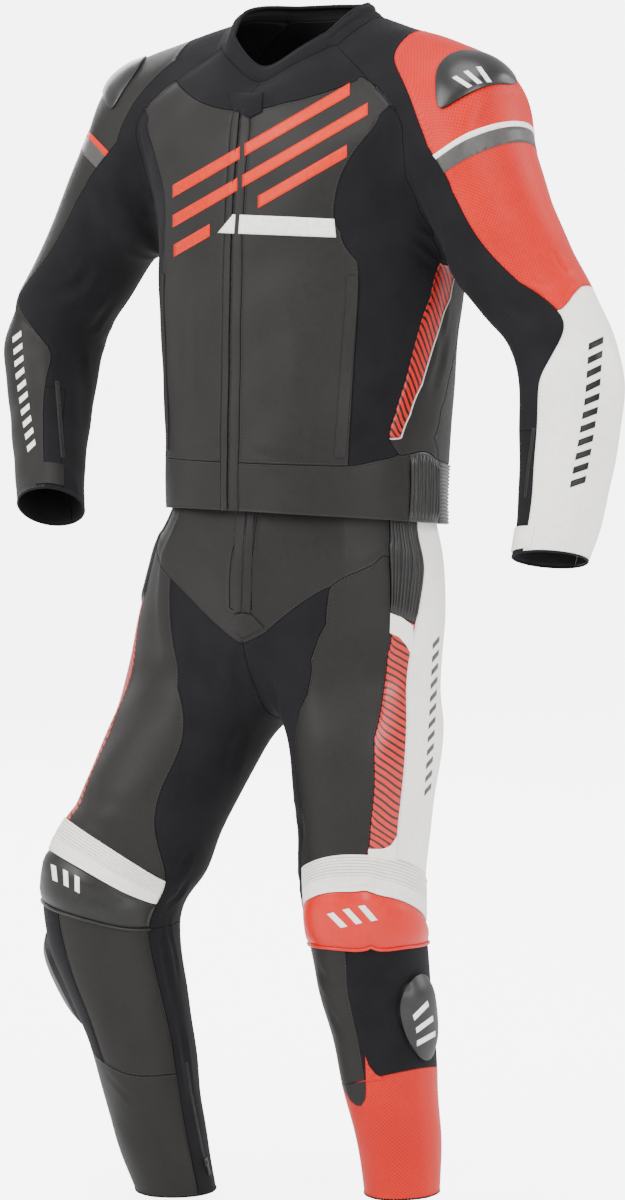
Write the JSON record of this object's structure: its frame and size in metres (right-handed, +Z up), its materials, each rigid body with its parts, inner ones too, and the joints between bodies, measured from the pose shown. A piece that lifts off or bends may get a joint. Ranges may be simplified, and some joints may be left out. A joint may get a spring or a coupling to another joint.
{
  "type": "motorcycle race suit",
  "caption": "Two-piece leather and stretch-cloth motorcycle race suit in a worn form, with open neck, cuffs and hems, accordion ribs, knee sliders and shoulder guards.",
  "frame": {"origin": "at the centre of the neck opening, where the wearer's shoulders carry the suit", "axes": "+Z up the wearer's spine, -Y the front of the trousers, +X the wearer's left; the jacket is turned seven degrees about Z"},
  "size_m": [0.8767, 0.3218, 1.3741],
  "materials": {
    "black_leather": "smooth matt black leather",
    "charcoal_leather": "smooth charcoal-grey leather, semi-matt",
    "red_leather": "fluorescent red-orange leather, part perforated",
    "white_leather": "white leather, semi-matt",
    "stretch_cloth": "matt black knitted stretch cloth",
    "charcoal_rib": "charcoal leather sewn in accordion ribs",
    "white_rib": "white leather sewn in accordion ribs",
    "striped_insert": "red-orange leather with diagonal black cords",
    "zip_tape": "black zip tape with dark teeth",
    "hard_shell": "moulded black plastic guard",
    "slider_plastic": "black knee slider, satin",
    "hook_patch": "black hook-and-loop patch"
  },
  "bodies": {
    "root": {"collar": "stretch_cloth", "zip_front": "zip_tape", "back": "charcoal_leather", "waist_back": "charcoal_rib", "fly_zip": "zip_tape", "seat": "charcoal_leather", "yoke_left": "stretch_cloth", "yoke_right": "stretch_cloth", "chest_left": "charcoal_leather", "chest_right": "charcoal_leather", "side_stretch_left": "stretch_cloth", "side_stretch_right": "stretch_cloth", "side_insert_left": "striped_insert", "side_insert_right": "striped_insert", "back_side_left": "charcoal_leather", "back_side_right": "charcoal_leather", "waistband_left": "charcoal_leather", "waistband_right": "charcoal_leather", "waist_rib_left": "charcoal_rib", "waist_rib_right": "charcoal_rib", "pocket_welt_left": "charcoal_leather", "pocket_welt_right": "charcoal_leather", "sleeve_stretch_left": "stretch_cloth", "sleeve_stretch_right": "stretch_cloth", "shoulder_left": "red_leather", "shoulder_right": "charcoal_leather", "shoulder_guard_left": "hard_shell", "shoulder_guard_right": "hard_shell", "forearm_left": "white_leather", "forearm_right": "charcoal_leather", "cuff_gusset_left": "stretch_cloth", "cuff_gusset_right": "stretch_cloth", "cuff_tab_left": "white_leather", "cuff_tab_right": "charcoal_leather", "hip_front_left": "charcoal_leather", "hip_front_right": "charcoal_leather", "thigh_stretch_left": "stretch_cloth", "thigh_stretch_right": "stretch_cloth", "thigh_left": "charcoal_leather", "thigh_right": "charcoal_leather", "hip_rib_left": "charcoal_rib", "hip_rib_right": "charcoal_rib", "side_panel_left": "white_leather", "side_panel_right": "charcoal_leather", "thigh_insert_left": "striped_insert", "thigh_insert_right": "striped_insert", "knee_rib_left": "white_rib", "knee_rib_right": "white_rib", "knee_guard_left": "red_leather", "knee_guard_right": "black_leather", "slider_patch_left": "hook_patch", "slider_patch_right": "hook_patch", "knee_slider_left": "slider_plastic", "knee_slider_right": "slider_plastic", "shin_upper_left": "charcoal_leather", "shin_upper_right": "charcoal_leather", "shin_left": "red_leather", "shin_right": "charcoal_leather", "calf_left": "stretch_cloth", "calf_right": "stretch_cloth"}
  },
  "joints": []
}
